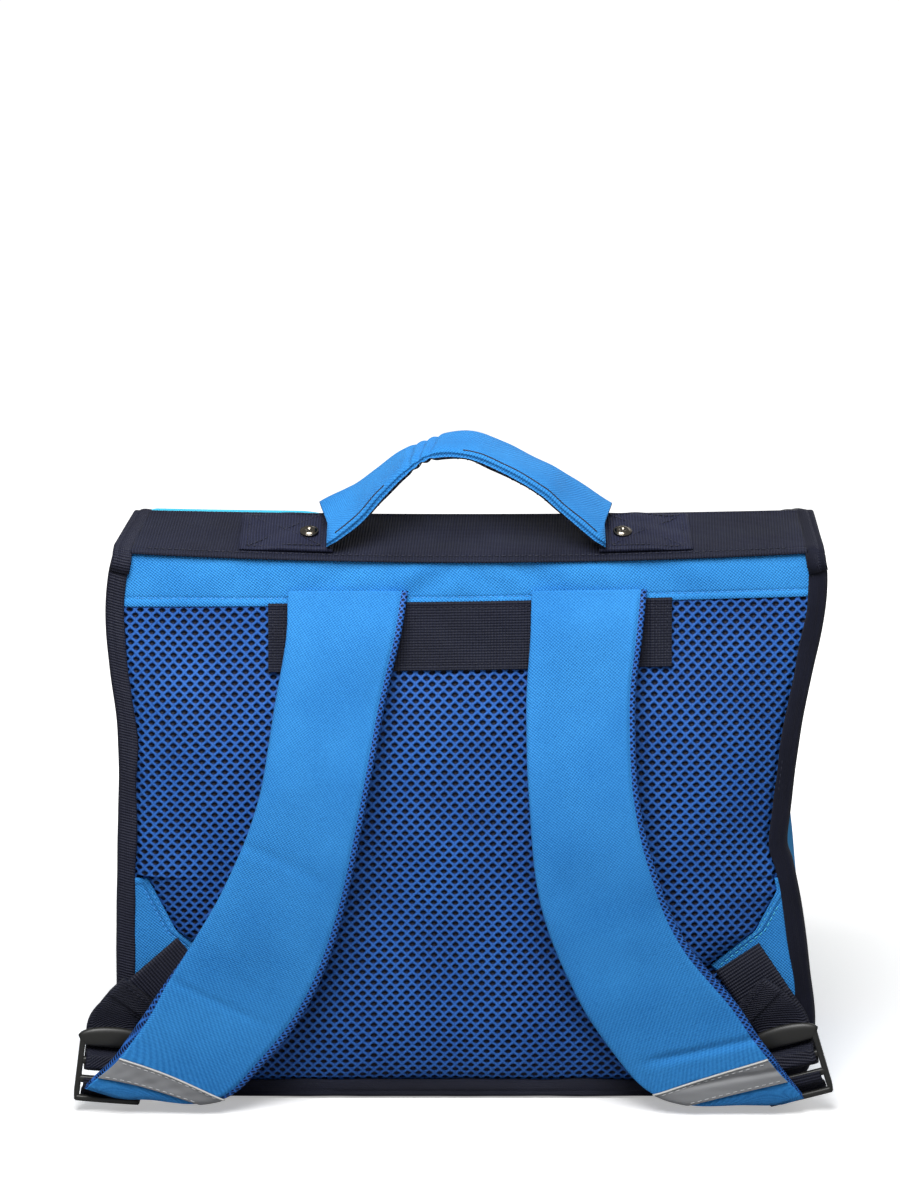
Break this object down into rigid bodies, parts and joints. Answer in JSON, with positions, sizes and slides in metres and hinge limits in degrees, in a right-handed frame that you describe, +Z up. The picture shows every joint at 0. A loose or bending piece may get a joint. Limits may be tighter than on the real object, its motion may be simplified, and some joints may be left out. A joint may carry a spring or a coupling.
{
  "type": "school satchel backpack",
  "caption": "Boxy school satchel with a flap, padded mesh back, shoulder straps, carrying handle and reflective tape.",
  "frame": {"origin": "middle of the flat underside", "axes": "+X to the right as seen from the strap side, +Y from the strap side to the flap side, +Z up"},
  "size_m": [0.4052, 0.1989, 0.3585],
  "materials": {
    "blue_cloth": "fine twill",
    "cyan_cloth": "fine twill",
    "air_mesh": "open spacer mesh",
    "navy_tape": "ribbed webbing",
    "navy_lining": "plain woven",
    "reflective_tape": "smooth grey retroreflective",
    "black_plastic": "moulded, satin",
    "dark_metal": "polished dome"
  },
  "bodies": {
    "root": {"back_board": "navy_lining", "back_binding": "navy_tape", "mesh_pad": "air_mesh", "top_band": "blue_cloth", "corner_wing_left": "blue_cloth", "corner_wing_right": "blue_cloth", "gusset": "cyan_cloth", "front_panel": "cyan_cloth", "front_binding": "navy_tape", "flap": "cyan_cloth", "flap_binding": "navy_tape", "top_webbing": "navy_tape", "handle_grip": "blue_cloth", "handle_tab_left": "navy_tape", "handle_tab_right": "navy_tape", "rivet_left": "dark_metal", "rivet_right": "dark_metal", "strap_tape": "navy_tape", "shoulder_strap_left": "blue_cloth", "shoulder_strap_right": "blue_cloth", "reflective_band_left": "reflective_tape", "reflective_band_right": "reflective_tape", "adjuster_webbing_left": "navy_tape", "adjuster_webbing_right": "navy_tape", "ladder_buckle_left": "black_plastic", "ladder_buckle_right": "black_plastic", "buckle_tab_left": "navy_tape", "buckle_tab_right": "navy_tape", "clasp_left": "black_plastic", "clasp_right": "black_plastic"}
  },
  "joints": []
}
